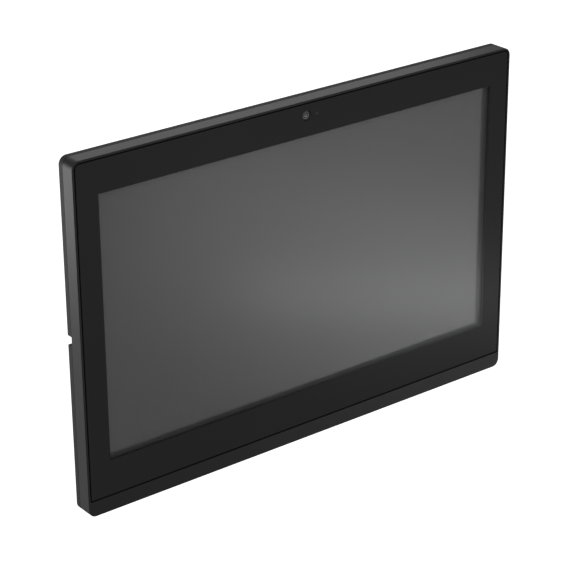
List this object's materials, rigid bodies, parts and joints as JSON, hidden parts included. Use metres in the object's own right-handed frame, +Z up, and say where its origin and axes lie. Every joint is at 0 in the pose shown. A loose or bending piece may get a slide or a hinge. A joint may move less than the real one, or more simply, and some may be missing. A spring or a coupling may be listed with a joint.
{
  "type": "smart display",
  "caption": "Slim wall-hung smart display: black glass over an unlit wide panel, a plain bottom bar, side keys and a rear housing that hooks onto a steel bracket.",
  "frame": {"origin": "on the wall plane, at the middle of the wall bracket's rear face, level with half the display's height", "axes": "+X to the right of a viewer who faces the screen, +Y from the viewer towards the wall, +Z up"},
  "size_m": [0.3876, 0.0345, 0.264],
  "materials": {
    "cover_glass": "clear toughened glass, lightly tinted",
    "touch_film": "clear film",
    "black_print": "black print behind glass",
    "frame_satin": "satin black, fine texture",
    "cover_plastic": "matt black, fine moulded texture",
    "panel_face": "unlit anti-glare panel",
    "dark_metal": "matt black",
    "white_sheet": "white",
    "plated_steel": "bright zinc",
    "black_screws": "black oxide",
    "bracket_coat": "black powder coat",
    "bare_aluminium": "bare",
    "circuit_board": "green solder mask",
    "chip_plastic": "moulded black",
    "soft_rubber": "matt black foam and rubber",
    "ribbon_film": "amber film"
  },
  "bodies": {
    "wall_bracket": {"wall_bracket": "bracket_coat"},
    "display": {"antenna_left": "circuit_board", "antenna_right": "circuit_board", "backlight_tray": "bare_aluminium", "board_screw_1": "plated_steel", "board_screw_2": "plated_steel", "board_screw_3": "plated_steel", "board_screw_4": "plated_steel", "camera_barrel": "cover_plastic", "camera_board": "circuit_board", "camera_lens": "cover_glass", "capacitor_1": "bare_aluminium", "capacitor_2": "bare_aluminium", "chassis_plate": "plated_steel", "cover_screw_1": "black_screws", "cover_screw_2": "black_screws", "cover_screw_3": "black_screws", "cover_screw_4": "black_screws", "cover_screw_5": "black_screws", "cover_screw_6": "black_screws", "diffuser_sheet": "white_sheet", "dust_seal": "soft_rubber", "front_frame": "frame_satin", "front_glass": "cover_glass", "glass_gasket": "soft_rubber", "heat_sink": "bare_aluminium", "hook_plate": "plated_steel", "key_board": "circuit_board", "lcd_bezel": "dark_metal", "lcd_cell": "panel_face", "lcd_driver_board": "circuit_board", "lcd_ribbon": "ribbon_film", "led_strip": "circuit_board", "light_guide": "white_sheet", "light_sensor": "chip_plastic", "main_board": "circuit_board", "microphone_left": "circuit_board", "microphone_right": "circuit_board", "network_jack": "plated_steel", "power_board": "circuit_board", "power_terminal": "chip_plastic", "print_border": "black_print", "processor": "chip_plastic", "rear_cover": "cover_plastic", "reflector_sheet": "white_sheet", "speaker_box_left": "cover_plastic", "speaker_box_right": "cover_plastic", "speaker_cone_left": "soft_rubber", "speaker_cone_right": "soft_rubber", "touch_board": "circuit_board", "touch_ribbon": "ribbon_film", "touch_sensor": "touch_film", "transformer": "chip_plastic", "usb_socket": "plated_steel", "wireless_module": "plated_steel"},
    "power_key": {"power_button": "frame_satin"},
    "volume_up_key": {"volume_up_button": "frame_satin"},
    "volume_down_key": {"volume_down_button": "frame_satin"}
  },
  "joints": [
    {"name": "display_lift", "type": "slide", "parent": "wall_bracket", "child": "display", "axis": [0, 0, 1], "range_m": [0, 0.008]},
    {"name": "power_press", "type": "slide", "parent": "display", "child": "power_key", "axis": [-1, 0, 0], "range_m": [0, 0.0005], "stiffness_N_per_m": 800, "springref_m": -0.001},
    {"name": "volume_up_press", "type": "slide", "parent": "display", "child": "volume_up_key", "axis": [-1, 0, 0], "range_m": [0, 0.0005], "stiffness_N_per_m": 800, "springref_m": -0.001},
    {"name": "volume_down_press", "type": "slide", "parent": "display", "child": "volume_down_key", "axis": [-1, 0, 0], "range_m": [0, 0.0005], "stiffness_N_per_m": 800, "springref_m": -0.001}
  ]
}
